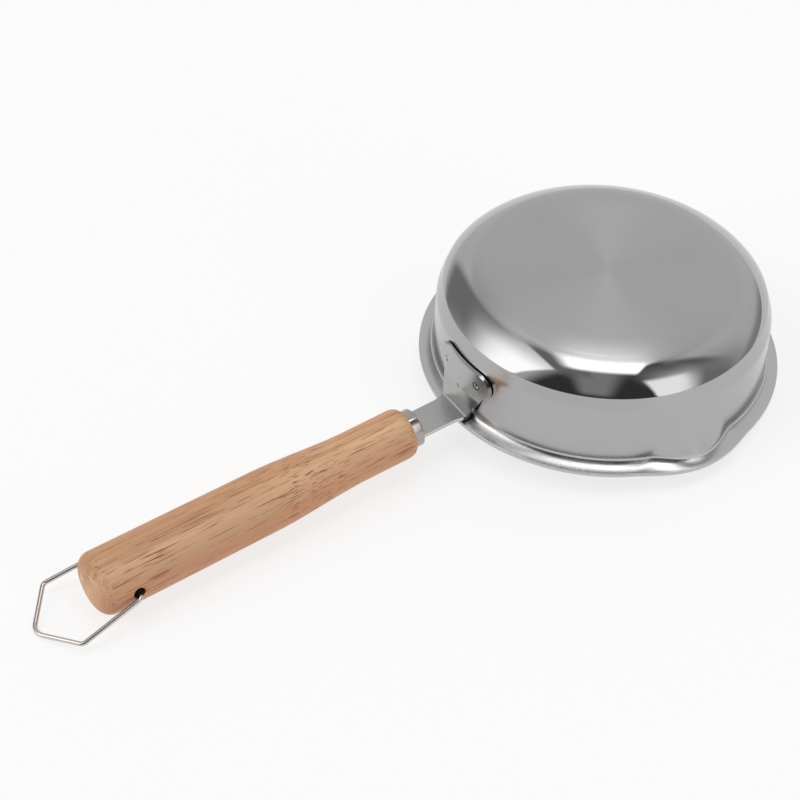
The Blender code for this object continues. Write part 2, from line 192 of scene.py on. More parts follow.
# %% [markdown]
# The corner is a superellipse, a little less full than a quarter of an ellipse. The wall below it is nearly upright,
# and leans in along a straight shoulder before the corner. The polishing stops at the crease on top of the shoulder,
# so the brushed wall mirrors the pale table right up to there, and the polished corner mirrors the room.

# %% The corner and the wall
CORNER_FULLNESS = 1.85
POLISH_FOOT_HEIGHT = 0.0408
SHOULDER_FOOT = 0.0332
SHOULDER_BEND = 0.0015


def corner_point(angle):
    out = max(math.cos(angle), 0) ** (2 / CORNER_FULLNESS)
    up = max(math.sin(angle), 0) ** (2 / CORNER_FULLNESS)
    return (mix(FLAT_BASE_RADIUS, WALL_TOP_RADIUS, out), mix(WALL_TOP, BOWL_HEIGHT, up))


CREASE_ANGLE = math.asin(((POLISH_FOOT_HEIGHT - WALL_TOP) / CORNER_HEIGHT) ** (CORNER_FULLNESS / 2))
CREASE_RADIUS = corner_point(CREASE_ANGLE)[0]
SHOULDER_SLOPE = (WALL_TOP_RADIUS - CREASE_RADIUS) / (POLISH_FOOT_HEIGHT - SHOULDER_FOOT)


def wall_radius(height):
    """Straight below the shoulder, straight along it, and a short curve where the two meet."""
    run = height - SHOULDER_FOOT
    if run <= -SHOULDER_BEND:
        return mix(WALL_TOP_RADIUS, WALL_FOOT_RADIUS, run / (WALL_FOOT - SHOULDER_FOOT))
    if run < SHOULDER_BEND:
        radius = mix(WALL_TOP_RADIUS, WALL_FOOT_RADIUS, run / (WALL_FOOT - SHOULDER_FOOT))
        return radius - SHOULDER_SLOPE * (run + SHOULDER_BEND) ** 2 / (4 * SHOULDER_BEND)
    return WALL_TOP_RADIUS - SHOULDER_SLOPE * run


print("the shoulder leans in by", round(math.degrees(math.atan(SHOULDER_SLOPE)), 1), "degrees")

# %% [markdown]
# Now the two lines of the sheet. The outer one is put together from the stretches above, with one point just under
# the crease to keep it crisp. The inner one is the outer one moved in by the sheet's thickness. Points that come too
# close together in the tight bends are left out.

# %% The bowl's profile
CREASE = 0.0001
BASE_STEPS = 6
CORNER_STEPS = 50
WALL_STEPS = 32
FILLET_STEPS = 16
CLOSEST_POINTS = 0.0004


def outer_profile():
    points = [(FLAT_BASE_RADIUS * i / BASE_STEPS, BOWL_HEIGHT) for i in range(BASE_STEPS)]
    points += [corner_point(mix(math.pi / 2, CREASE_ANGLE, i / CORNER_STEPS)) for i in range(CORNER_STEPS + 1)]
    heights = [mix(POLISH_FOOT_HEIGHT, WALL_FOOT, i / WALL_STEPS) for i in range(1, WALL_STEPS + 1)]
    points += [(wall_radius(height), height) for height in [POLISH_FOOT_HEIGHT - CREASE, *heights]]
    fillet_radius = WALL_FOOT_RADIUS + FLANGE_FILLET
    turned = 270 - FLANGE_ROOT_FALL
    points += arc(fillet_radius, WALL_FOOT, FLANGE_FILLET, FLANGE_FILLET, 180, turned, FILLET_STEPS)[1:]
    return points + flange_line()[1:]


def inner_profile(outer):
    inner = []
    for before, here, after in zip(outer, outer[1:], outer[2:]):
        slope = Vector((after[0] - before[0], after[1] - before[1])).normalized()
        inside = Vector(here) + Vector((slope.y, -slope.x)) * SHEET
        if not inner or (inside - inner[-1]).length > CLOSEST_POINTS:
            inner.append(inside)
    return [(point.x, point.y) for point in reversed(inner)]


outer = outer_profile()
inner = inner_profile(outer)
rim_edge = arc(RIM_RADIUS - EDGE_ROUND, SHEET - EDGE_ROUND, EDGE_ROUND, EDGE_ROUND, 90, 0, 3)[1:]
rim_edge += arc(RIM_RADIUS - EDGE_ROUND, EDGE_ROUND, EDGE_ROUND, EDGE_ROUND, 0, -90, 3)
bowl_profile = outer + rim_edge + inner + [(0.0, BOWL_HEIGHT - SHEET)]
print("bowl profile:", len(outer), "points outside and", len(inner), "inside")

# %% [markdown]
# The maker brushes the base, the wall and the inside, polishes the corner, buffs the flange and leaves the rim's edge
# as the shears cut it. So each stretch of the profile gets the number of its finish, in the order in which the
# materials are added to the mesh later on.

# %% The bowl's finishes
BRUSHED_BASE, POLISHED, BRUSHED_WALL, CUT_EDGE, FLANGE = range(5)
POLISH_TOP_RADIUS = 0.0680
FLANGE_BUFFED_ABOVE_FOOT = 0.0002


def outer_finish(radius, height):
    if radius < POLISH_TOP_RADIUS and height > WALL_TOP:
        return BRUSHED_BASE
    if height > POLISH_FOOT_HEIGHT:
        return POLISHED
    return BRUSHED_WALL if height > WALL_FOOT + FLANGE_BUFFED_ABOVE_FOOT else FLANGE


bowl_finishes = [outer_finish((r0 + r1) / 2, (h0 + h1) / 2) for (r0, h0), (r1, h1) in zip(outer, outer[1:])]
bowl_finishes += [CUT_EDGE] * len(rim_edge)
bowl_finishes += [BRUSHED_WALL] * (len(bowl_profile) - 1 - len(bowl_finishes))
print("finish numbers used:", sorted(set(bowl_finishes)))

# %% [markdown]
# A spout is pressed in the rim at each side. The press pushes the wall and the flange outwards, most in the middle
# of the spout and nothing at its ends. It is easiest to turn the bowl without spouts first and then to move each
# point outwards by a formula of its height and of its angle from the middle of the spout.

# %% The spouts
SPOUT_BEARING = math.radians(93)
SPOUT_WALL_PUSH = 0.0062
SPOUT_RIM_PUSH = 0.0040
SPOUT_HEIGHT = 0.0200
SPOUT_WALL_HALF_ANGLE = math.radians(16)
SPOUT_RIM_HALF_ANGLE = math.radians(22)
SPOUT_FADE = 1.5
SPOUT_TOP_SHARE = 0.6
SPOUT_CREASE = 1.4


def spout_push(radius, height, turn):
    if height >= WALL_FOOT:
        rise = (height - WALL_FOOT) / SPOUT_HEIGHT
        push = SPOUT_WALL_PUSH * max(1 - rise, 0) ** SPOUT_FADE
        half_angle = SPOUT_WALL_HALF_ANGLE * mix(1, SPOUT_TOP_SHARE, min(rise, 1))
    else:
        reach = min(max((radius - WALL_FOOT_RADIUS) / (RIM_RADIUS - WALL_FOOT_RADIUS), 0), 1)
        push = mix(SPOUT_WALL_PUSH, SPOUT_RIM_PUSH, reach)
        half_angle = mix(SPOUT_WALL_HALF_ANGLE, SPOUT_RIM_HALF_ANGLE, reach)
    if abs(turn) >= half_angle:
        return 0.0
    return push * math.cos(math.pi / 2 * turn / half_angle) ** SPOUT_CREASE


print("each spout is", round(2 * RIM_RADIUS * math.sin(SPOUT_RIM_HALF_ANGLE) * 1000), "mm wide at the rim")

# %% [markdown]
# A lathe in code: every point of the profile becomes a ring, and every two rings are joined by a band of faces.
# Blender's Screw modifier could do this too, but here each face gets the number of its finish as it is made.

# %% The lathe
ON_AXIS = 1e-7


def turn_profile(name, profile, finishes, steps):
    """A closed surface from (radius, height) points that start and end on the axis."""
    body = bmesh.new()
    rings = []
    for radius, height in profile:
        if radius < ON_AXIS:
            rings.append([body.verts.new((0, 0, height))] * steps)
            continue
        angles = [2 * math.pi * j / steps for j in range(steps)]
        rings.append([body.verts.new((radius * math.cos(a), radius * math.sin(a), height)) for a in angles])
    for upper, lower, finish in zip(rings, rings[1:], finishes):
        for j in range(steps):
            k = (j + 1) % steps
            corners = list(dict.fromkeys((upper[j], lower[j], lower[k], upper[k])))
            body.faces.new(corners).material_index = finish
    return mesh_of(name, body)


BOWL_TURN_STEPS = 288
SPOUTS_START_RADIUS = WALL_TOP_RADIUS - SHEET - 0.001
bowl_mesh = turn_profile("pan_body_surface", bowl_profile, bowl_finishes, BOWL_TURN_STEPS)
for vertex in bowl_mesh.vertices:
    radius = math.hypot(vertex.co.x, vertex.co.y)
    if radius < SPOUTS_START_RADIUS:
        continue
    turn = abs(math.atan2(vertex.co.y, vertex.co.x)) - SPOUT_BEARING
    scale = 1 + spout_push(radius, vertex.co.z, turn) / radius
    vertex.co.x *= scale
    vertex.co.y *= scale
smooth(bowl_mesh)
add_piece("pan_body_surface", bowl_mesh, PAN, "pan", "satin_steel", "pan_body")
print("bowl:", len(bowl_mesh.polygons), "faces")

# %% [markdown]
# The bracket is one stamping of 2 mm sheet. Its plate is curved to the wall and spot-welded to it, then it bends out
# over the flange and runs into the wooden handle as a flat strap. The strap falls a little towards the handle's end,
# so the pan hangs level in the hand. These sizes give the outline of its outer face.

# %% The bracket's sizes, in metres
SEAT = 0.0003
PLATE = 0.0020
PLATE_TOP = WALL_TOP - 0.0014
PLATE_DISTANCE = WALL_FOOT_RADIUS + SEAT + PLATE
PLATE_HALF_WIDTH = 0.0200
PLATE_TOP_HALF_WIDTH = 0.0115
PLATE_CORNER_DROP = 0.0070
PLATE_LOW_HALF_WIDTH = 0.0160
PLATE_LOW_CORNER_DROP = 0.0054
PLATE_TAPER_POWER = 0.85
NECK_HEIGHT = 0.0165
NECK_LEAN = 0.0016
STRAP_HALF_WIDTH = 0.0081
STRAP_FLARE = 0.0014
FLARE_LENGTH = 0.0060
BEND_RADIUS = 0.0008
STRAP_OVER_RIM = 0.0012
HANDLE_FALL = math.radians(5.05)
FERRULE_REACH = 0.0206
STRAP_TUCK = 0.0007
print("the plate is", round(PLATE_HALF_WIDTH * 2000), "mm wide, and the strap", round(STRAP_HALF_WIDTH * 2000, 1), "mm")

# %% [markdown]
# The strap's middle runs along the handle's axis. The bend's corner lies where the strap's upper face and the plate's
# outer face would meet if the sheet were folded sharply.

# %% The handle's axis
AXIS_AT_RIM = SHEET + STRAP_OVER_RIM + PLATE / 2 / math.cos(HANDLE_FALL)
AXIS_START = Vector((-RIM_RADIUS, 0, AXIS_AT_RIM))
AXIS_ALONG = Vector((-math.cos(HANDLE_FALL), 0, -math.sin(HANDLE_FALL)))
AXIS_UP = Vector((-math.sin(HANDLE_FALL), 0, math.cos(HANDLE_FALL)))


def strap_surface(reach):
    return AXIS_START + AXIS_ALONG * reach + AXIS_UP * (PLATE / 2)


BEND_CORNER = strap_surface((PLATE_DISTANCE + NECK_LEAN - RIM_RADIUS) / math.cos(HANDLE_FALL))
print("the sheet bends", round(BEND_CORNER.z * 1000, 1), "mm above the rim's plane")

# %% [markdown]
# The plate has two round ears. Each is a quarter ellipse above its widest place and another below it, and from there
# the outline narrows to the strap.

# %% The plate's outline
EAR_HEIGHT = PLATE_TOP - PLATE_CORNER_DROP
WAIST_HEIGHT = EAR_HEIGHT - PLATE_LOW_CORNER_DROP


def plate_half_width(height):
    if height >= EAR_HEIGHT:
        t = (height - EAR_HEIGHT) / PLATE_CORNER_DROP
        return mix(PLATE_TOP_HALF_WIDTH, PLATE_HALF_WIDTH, math.sqrt(max(1 - t * t, 0)))
    if height >= WAIST_HEIGHT:
        t = (EAR_HEIGHT - height) / PLATE_LOW_CORNER_DROP
        return mix(PLATE_LOW_HALF_WIDTH, PLATE_HALF_WIDTH, math.sqrt(max(1 - t * t, 0)))
    t = (WAIST_HEIGHT - height) / (WAIST_HEIGHT - BEND_CORNER.z)
    return mix(PLATE_LOW_HALF_WIDTH, STRAP_HALF_WIDTH + STRAP_FLARE, min(t, 1) ** PLATE_TAPER_POWER)


print("half widths down the plate:", [round(plate_half_width(h / 1000) * 1000, 1) for h in (32, 25, 20, 15, 10)])

# %% [markdown]
# Each spot weld leaves a shallow dent where the electrode pressed. The dent is in the mesh itself, because the light
# that runs round its rim is what makes it read as a weld and not as a printed dot.

# %% The welds' dents
# Each weld: across the plate, height, radius and depth.
WELDS = ((0.0122, 0.0246, 0.0010, 0.00020), (-0.0117, 0.0254, 0.0016, 0.00045), (0.0008, 0.0163, 0.0010, 0.00020))
DENT_FLOOR = 0.5
DENT_WALL = 0.7


def weld_dent(across, height):
    dent = 0.0
    for weld_across, weld_height, weld_radius, weld_depth in WELDS:
        distance = math.hypot(across - weld_across, height - weld_height)
        dent += weld_depth * (1 - ease((distance - weld_radius * DENT_FLOOR) / (weld_radius * DENT_WALL)))
    return dent


print("welds:", len(WELDS), "of them, up to", max(weld[3] for weld in WELDS) * 1000, "mm deep")

# %% [markdown]
# A grid of points follows the bracket's outer face in rows, from the plate's top edge to inside the ferrule. The rows
# lie closer together in the round corners and in the bend. Each row says where its middle is, how wide it is, and how
# far it wraps round the wall: fully on the plate, less and less down the neck, and not at all on the flat strap.

# %% The bracket's rows
CORNER_ROWS, EAR_ROWS, WAIST_ROWS, NECK_ROWS, BEND_ROWS, FLARE_ROWS, STRAP_ROWS = 28, 30, 10, 22, 8, 14, 10
NECK_SHARE = 0.8


def plate_heights():
    heights = [mix(EAR_HEIGHT, PLATE_TOP, math.cos(math.pi / 2 * i / CORNER_ROWS)) for i in range(CORNER_ROWS)]
    heights += [mix(EAR_HEIGHT, WAIST_HEIGHT, math.sin(math.pi / 2 * i / EAR_ROWS)) for i in range(EAR_ROWS + 1)]
    return heights + [mix(WAIST_HEIGHT, NECK_HEIGHT, i / WAIST_ROWS) for i in range(1, WAIST_ROWS + 1)]


def bracket_rows():
    rows = [(Vector((-PLATE_DISTANCE, 0, height)), plate_half_width(height), 1.0) for height in plate_heights()]
    neck_top = rows[-1][0]
    for i in range(1, NECK_ROWS + 1):
        place = neck_top.lerp(BEND_CORNER, NECK_SHARE * i / NECK_ROWS)
        rows.append((place, plate_half_width(place.z), 1 - ease(i / NECK_ROWS)))
    for place in round_corner(neck_top, BEND_CORNER, BEND_CORNER + AXIS_ALONG, BEND_RADIUS, BEND_ROWS):
        rows.append((place, plate_half_width(place.z), 0.0))
    bend_end = (rows[-1][0] - AXIS_START).dot(AXIS_ALONG)
    for i in range(1, FLARE_ROWS + 1):
        t = i / FLARE_ROWS
        rows.append((strap_surface(bend_end + FLARE_LENGTH * t), STRAP_HALF_WIDTH + STRAP_FLARE * (1 - t) ** 2, 0.0))
    for i in range(1, STRAP_ROWS + 1):
        reach = mix(bend_end + FLARE_LENGTH, FERRULE_REACH + STRAP_TUCK, i / STRAP_ROWS)
        rows.append((strap_surface(reach), STRAP_HALF_WIDTH, 0.0))
    return rows


print("bracket:", len(bracket_rows()), "rows")

# %% [markdown]
# Solidify gives the grid the sheet's thickness, and its cut edges the second finish. A small bevel breaks the edges,
# as tumbling does to a real stamping, and gives them the bright line that a sharp edge never shows.

# %% The bracket
BRACKET_COLUMNS = 110
body = bmesh.new()
grid = []
for place, half_width, wrap in bracket_rows():
    row = []
    for j in range(BRACKET_COLUMNS + 1):
        across = half_width * mix(-1, 1, j / BRACKET_COLUMNS)
        behind = -place.x - math.sqrt(place.x**2 - across**2)
        point = place + Vector((wrap * behind + weld_dent(across, place.z), across, 0))
        row.append(body.verts.new(point))
    grid.append(row)
for upper, lower in zip(grid, grid[1:]):
    for j in range(BRACKET_COLUMNS):
        body.faces.new((upper[j], upper[j + 1], lower[j + 1], lower[j]))
bracket_mesh = mesh_of("bracket_surface", body)
bracket_mesh.shade_smooth()
bracket = add_piece("bracket_surface", bracket_mesh, PAN, "pan", "plate_steel", "handle_bracket")
sheet = bracket.modifiers.new("sheet", "SOLIDIFY")
sheet.thickness = PLATE
sheet.offset = -1
sheet.use_even_offset = True
sheet.material_offset_rim = 1
broken_edge = bracket.modifiers.new("broken edge", "BEVEL")
broken_edge.width = 0.00025
broken_edge.segments = 3
broken_edge.limit_method = "ANGLE"
broken_edge.angle_limit = math.radians(50)
broken_edge.harden_normals = True
print("bracket:", len(bracket_mesh.polygons), "faces on its outer side")

# %% [markdown]
# The ferrule and the wooden handle are turned about the handle's own axis, so they share a frame whose +Z runs along
# that axis, away from the bowl. Each has one hole that no lathe makes: the ferrule's slot and the hole across the
# handle. A Boolean cuts these, with a hidden solid in the shape of the tool.


# %% The handle's frame, and the cutting of holes
HANDLE = PAN @ Matrix.Translation(AXIS_START) @ Matrix.Rotation(-(math.pi / 2 + HANDLE_FALL), 4, "Y")


def cut(piece, name, data, place):
    """Subtracts a hidden solid from a piece. The solid is stage, so it is no part of the pan."""
    made = bpy.data.objects.new(name, data)
    bpy.context.scene.collection.objects.link(made)
    made.matrix_world = place
    made.hide_render = True
    made.hide_viewport = True
    change = piece.modifiers.new(name, "BOOLEAN")
    change.operation = "DIFFERENCE"
    change.solver = "EXACT"
    change.object = made


print("the handle's frame starts at", [round(v, 4) for v in HANDLE.translation])

# %% [markdown]
# The ferrule is a small polished cap over the front of the wood, with a slot that the strap passes through. It hides
# the joint between steel and wood, and keeps the wood from splitting.

# %% The ferrule
FERRULE_LENGTH = 0.0046
FERRULE_RADIUS = 0.0094
FERRULE_WALL = 0.0009
FERRULE_FRONT = 0.0010
FERRULE_ROUND = 0.0006
TURN_STEPS = 128
ferrule_back = FERRULE_REACH + FERRULE_LENGTH
ferrule_inside = FERRULE_RADIUS - FERRULE_WALL
ferrule_profile = [(0.0, FERRULE_REACH + FERRULE_FRONT), (ferrule_inside, FERRULE_REACH + FERRULE_FRONT)]
ferrule_profile += [(ferrule_inside, ferrule_back), (FERRULE_RADIUS, ferrule_back)]
ferrule_profile += arc(
    FERRULE_RADIUS - FERRULE_ROUND, FERRULE_REACH + FERRULE_ROUND, FERRULE_ROUND, FERRULE_ROUND, 0, -90, 8
)
ferrule_profile += [(0.0, FERRULE_REACH)]
ferrule_mesh = turn_profile("ferrule_surface", ferrule_profile, [0] * len(ferrule_profile), TURN_STEPS)
smooth(ferrule_mesh, 35)
ferrule = add_piece("ferrule_surface", ferrule_mesh, HANDLE, "pan", "polished_steel", "ferrule")
body = bmesh.new()
bmesh.ops.create_cube(body, size=1)
body.transform(Matrix.Diagonal((PLATE + 2 * SEAT, 2 * (STRAP_HALF_WIDTH + SEAT), 4 * FERRULE_FRONT, 1)))
cut(ferrule, "strap_slot", mesh_of("strap_slot", body), HANDLE @ Matrix.Translation((0, 0, FERRULE_REACH)))
print("ferrule:", len(ferrule_mesh.polygons), "faces before its slot is cut")

# %% [markdown]
# The handle is turned from one piece of light hardwood: narrow at the front, full in the palm, and rounded over at
# its far end. Its profile runs from the middle of the far end, along the side, to the face behind the ferrule.

# %% The wooden handle's profile
WOOD_START = FERRULE_REACH + FERRULE_LENGTH + SEAT
WOOD_LENGTH = 0.1712
SPIGOT_RADIUS = 0.0085
FRONT_FACE_RADIUS = 0.0098
FRONT_ROUND = 0.0045
WAIST_RADIUS = 0.0124
WAIST_AT = 0.0270
GRIP_RADIUS = 0.0150
GRIP_AT = 0.0800
END_RADIUS = 0.0155
END_ROUND = 0.0075
END_FACE_RADIUS = 0.0078
END_CROWN = 0.0008
END_STEPS = 6
SIDE_STEPS = 60


def wood_radius(along):
    swell = ease((along - WAIST_AT) / (GRIP_AT - WAIST_AT))
    spread = min(max((along - GRIP_AT) / (WOOD_LENGTH - END_ROUND - GRIP_AT), 0), 1)
    return WAIST_RADIUS + (GRIP_RADIUS - WAIST_RADIUS) * swell + (END_RADIUS - GRIP_RADIUS) * spread


def wood_profile():
    end_start = WOOD_LENGTH - END_ROUND
    end_width = wood_radius(end_start) - END_FACE_RADIUS
    front_width = wood_radius(FRONT_ROUND) - FRONT_FACE_RADIUS
    shares = [i / END_STEPS for i in range(END_STEPS)]
    points = [(END_FACE_RADIUS * t, WOOD_LENGTH - END_CROWN * t * t) for t in shares]
    points += arc(END_FACE_RADIUS, end_start, end_width, END_ROUND - END_CROWN, 90, 0, 20)
    side = [mix(end_start, FRONT_ROUND, i / SIDE_STEPS) for i in range(1, SIDE_STEPS + 1)]
    points += [(wood_radius(along), along) for along in side]
    points += arc(FRONT_FACE_RADIUS, FRONT_ROUND, front_width, FRONT_ROUND, 0, -90, 14)[1:]
    points += [(SPIGOT_RADIUS, 0.0), (0.0, 0.0)]
    return [(radius, WOOD_START + along) for radius, along in points]


print("the handle is", round(max(radius for radius, along in wood_profile()) * 2000, 1), "mm thick")

# %% [markdown]
# The hole for the hanging loop is drilled across the handle near its far end. The faces that the drill leaves get the
# handle's second material, the same wood at a quarter of its brightness.

# %% The wooden handle
HANGING_HOLE_RADIUS = 0.0030
HANGING_HOLE_FROM_END = 0.0184
wood_line = wood_profile()
wood_mesh = turn_profile("wooden_handle_surface", wood_line, [0] * len(wood_line), TURN_STEPS)
smooth(wood_mesh, 50)
wood = add_piece("wooden_handle_surface", wood_mesh, HANDLE, "pan", "oiled_wood", "wooden_handle")
drill = {"cap_ends": True, "segments": 48, "depth": 4 * END_RADIUS}
body = bmesh.new()
bmesh.ops.create_cone(body, radius1=HANGING_HOLE_RADIUS, radius2=HANGING_HOLE_RADIUS, **drill)
for face in body.faces:
    face.material_index = 1
hole_at = Matrix.Translation((0, 0, WOOD_START + WOOD_LENGTH - HANGING_HOLE_FROM_END))
cut(wood, "hanging_hole", mesh_of("hanging_hole", body), HANDLE @ hole_at @ Matrix.Rotation(math.pi / 2, 4, "X"))
print("handle:", len(wood_mesh.polygons), "faces before its hole is drilled")

# %% [markdown]
# The hanging loop is one length of bright steel wire, bent into a house-shaped loop with its two ends sprung into
# the hole. On the pan it is racked a little to one side. Its route is a line of straight runs with rounded corners.

# %% The hanging loop's route
WIRE_RADIUS = 0.00115
LOOP_CORNER_REACH = 0.0322
LOOP_TIP_REACH = 0.0478
LOOP_CORNER_HALF_WIDTH = 0.0206
LOOP_SIDE_CLEARANCE = 0.0006
LOOP_END_GAP = 0.0080
LOOP_SKEW = math.radians(3.4)
MOUTH_BEND = 0.0022
CORNER_BEND = 0.0030
TIP_BEND = 0.0065
WIRE_BEND_STEPS = 14
LOOP_HALF_WIDTH = END_RADIUS + LOOP_SIDE_CLEARANCE + WIRE_RADIUS
racked = Matrix.Rotation(-LOOP_SKEW, 3, "Z")
corners = [
    Vector((0, LOOP_END_GAP / 2, 0)),
    Vector((0, LOOP_HALF_WIDTH, 0)),
    racked @ Vector((LOOP_CORNER_REACH, LOOP_CORNER_HALF_WIDTH, 0)),
    racked @ Vector((LOOP_TIP_REACH, 0, 0)),
    racked @ Vector((LOOP_CORNER_REACH, -LOOP_CORNER_HALF_WIDTH, 0)),
    Vector((0, -LOOP_HALF_WIDTH, 0)),
    Vector((0, -LOOP_END_GAP / 2, 0)),
]
bends = (MOUTH_BEND, CORNER_BEND, TIP_BEND, CORNER_BEND, MOUTH_BEND)
route = [corners[0]]
for before, corner, after, radius in zip(corners, corners[1:], corners[2:], bends):
    route += round_corner(before, corner, after, radius, WIRE_BEND_STEPS)
route.append(corners[-1])
wire_length = sum((b - a).length for a, b in zip(route, route[1:]))
print("the loop takes", round(wire_length * 1000), "mm of wire")

# %% [markdown]
# A ring of points is carried along the route, square to it at every step, so the wire keeps its thickness in every
# bend. The loop rides on its own body, because on the real pan it swings freely. At rest its tip lies on the table,
# so its dip below the level follows from the height of the hinge.

# %% The hanging loop
WIRE_SIDES = 20
hinge = Vector(frame["joints"][0]["pos_m"])
loop_tip = max(point.x for point in route)
loop_dip = math.asin((hinge.z - WIRE_RADIUS - SEAT) / loop_tip)
LOOP = Matrix.Translation(hinge) @ Matrix.Rotation(-loop_dip, 4, "Y") @ Matrix.Rotation(math.pi, 4, "Z")
body = bmesh.new()
rings = []
for i, place in enumerate(route):
    along = (route[min(i + 1, len(route) - 1)] - route[max(i - 1, 0)]).normalized()
    across = along.cross(Vector((0, 0, 1)))
    ring = []
    for j in range(WIRE_SIDES):
        angle = 2 * math.pi * j / WIRE_SIDES
        out = across * math.cos(angle) + Vector((0, 0, math.sin(angle)))
        ring.append(body.verts.new(place + out * WIRE_RADIUS))
    rings.append(ring)
for before, after in zip(rings, rings[1:]):
    for j in range(WIRE_SIDES):
        k = (j + 1) % WIRE_SIDES
        body.faces.new((before[j], before[k], after[k], after[j]))
body.faces.new(list(reversed(rings[0])))
body.faces.new(rings[-1])
bmesh.ops.recalc_face_normals(body, faces=body.faces)
wire_mesh = mesh_of("hanging_loop_wire", body)
smooth(wire_mesh)
add_piece("hanging_loop_wire", wire_mesh, LOOP, "loop", "steel_wire", "hanging_loop")
print("loop dips", round(math.degrees(loop_dip), 2), "degrees below level")


# %% [markdown]
# Materials are built from nodes. Colours are given as the hex values that a picture editor shows, and one function
# turns them into the linear values that Blender computes with. Another adds a node with its settings and links.


# %% Helpers for materials
def linear(hex_colour):
    values = [int(hex_colour[i : i + 2], 16) / 255 for i in (1, 3, 5)]
    return (*[v / 12.92 if v <= 0.04045 else ((v + 0.055) / 1.055) ** 2.4 for v in values], 1)


def node(tree, kind, settings=None, **inputs):
    """Adds a node. Inputs go by name, or by number as _0; one given as an output socket is linked to it."""
    made = tree.nodes.new(kind)
    for name, value in (settings or {}).items():
        setattr(made, name, value)
    for name, value in inputs.items():
        socket = made.inputs[int(name[1:])] if name[0] == "_" else made.inputs[name.replace("_", " ")]
        if isinstance(value, bpy.types.NodeSocket):
            tree.links.new(value, socket)
        else:
            socket.default_value = value
    return made


def new_material(name):
    made = bpy.data.materials.new(name)
    made.use_nodes = True
    return made, made.node_tree, made.node_tree.nodes["Principled BSDF"]


print("mid grey #808080 is", round(linear("#808080")[0], 3), "of white in linear light")

# %% [markdown]
# Brushed metal has fine scratches that all run one way. They spread a highlight across themselves and keep it short
# along themselves, which Anisotropic does without drawing one scratch. The base and the wall were held against a
# belt while the bowl spun, so their scratches run round the axis, and the light on the base makes a bow-tie. The
# shader asks for that direction as a tangent. It is square to the axis and to the line from the axis, so it is the
# cross product of the two, turned from the piece's own space to the world's.


# %% The direction of the scratches
def round_the_axis(tree, place):
    around = node(tree, "ShaderNodeVectorMath", {"operation": "CROSS_PRODUCT"}, _0=(0, 0, 1), _1=place)
    spaces = {"vector_type": "VECTOR", "convert_from": "OBJECT", "convert_to": "WORLD"}
    turned = node(tree, "ShaderNodeVectorTransform", spaces, Vector=around.outputs[0])
    return node(tree, "ShaderNodeVectorMath", {"operation": "NORMALIZE"}, _0=turned.outputs[0]).outputs[0]


# Blender lays the scratches square to the tangent, and a quarter turn sets them along it.
QUARTER_TURN = 0.25
print("the scratches are turned by", QUARTER_TURN * 360, "degrees from Blender's own way")

# %% [markdown]
# A little noise breaks the light up into streaks. It is stretched round the axis, because it changes quickly from one
# ring to the next and slowly with the bearing. Real scratches are a few hundredths of a millimetre apart, too fine
# to show here, so they are drawn 0.5 mm apart.

# %% The streaks
MM = 0.001
SCRATCH_SPACING = 0.5 * MM


def streak_noise(tree, place, spoke, radius):
    bearing = node(tree, "ShaderNodeVectorMath", {"operation": "NORMALIZE"}, _0=spoke)
    bearing_parts = node(tree, "ShaderNodeSeparateXYZ", Vector=bearing.outputs[0]).outputs
    height = node(tree, "ShaderNodeSeparateXYZ", Vector=place).outputs["Z"]
    ring = node(tree, "ShaderNodeMath", {"operation": "ADD"}, _0=radius, _1=height).outputs[0]
    ring_count = node(tree, "ShaderNodeMath", {"operation": "MULTIPLY"}, _0=ring, _1=1 / SCRATCH_SPACING).outputs[0]
    streak_place = node(
        tree, "ShaderNodeCombineXYZ", X=bearing_parts["X"], Y=bearing_parts["Y"], Z=ring_count
    ).outputs[0]
    return node(tree, "ShaderNodeTexNoise", Vector=streak_place, Scale=1.0, Detail=3.0, Roughness=0.6).outputs["Fac"]


print("streaks are", SCRATCH_SPACING / MM, "mm apart")

# %% [markdown]
# Stainless steel, brushed in circles. Such satin steel has a roughness near 0.3, and the wall was matched at less.
# Near the base's edge the belt met the buffing wheel, so there the brushed finish blends into the polished one over
# a few millimetres.

# %% Brushed stainless steel
BUFFED_ROUGHNESS = 0.04


def brushed_steel(name, colour, roughness, anisotropy, streaks, blend=None):
    """blend gives the radii between which the brushed finish turns into the buffed one."""
    made, tree, shader = new_material(name)
    place = node(tree, "ShaderNodeTexCoord").outputs["Object"]
    spoke = node(tree, "ShaderNodeVectorMath", {"operation": "MULTIPLY"}, _0=place, _1=(1, 1, 0)).outputs[0]
    radius = node(tree, "ShaderNodeVectorMath", {"operation": "LENGTH"}, _0=spoke).outputs["Value"]
    finish = node(
        tree,
        "ShaderNodeMapRange",
        Value=streak_noise(tree, place, spoke, radius),
        From_Min=0.3,
        From_Max=0.7,
        To_Min=roughness - streaks,
        To_Max=roughness + streaks,
    ).outputs[0]
    if blend:
        buffed = node(
            tree,
            "ShaderNodeMapRange",
            {"interpolation_type": "SMOOTHSTEP"},
            Value=radius,
            From_Min=blend[0],
            From_Max=blend[1],
        ).outputs[0]
        finish = node(tree, "ShaderNodeMix", _0=buffed, _2=finish, _3=BUFFED_ROUGHNESS).outputs[0]
    shader.inputs["Base Color"].default_value = linear(colour)
    shader.inputs["Metallic"].default_value = 1.0
    shader.inputs["Anisotropic"].default_value = anisotropy
    shader.inputs["Anisotropic Rotation"].default_value = QUARTER_TURN
    tree.links.new(finish, shader.inputs["Roughness"])
    tree.links.new(round_the_axis(tree, place), shader.inputs["Tangent"])
    return made


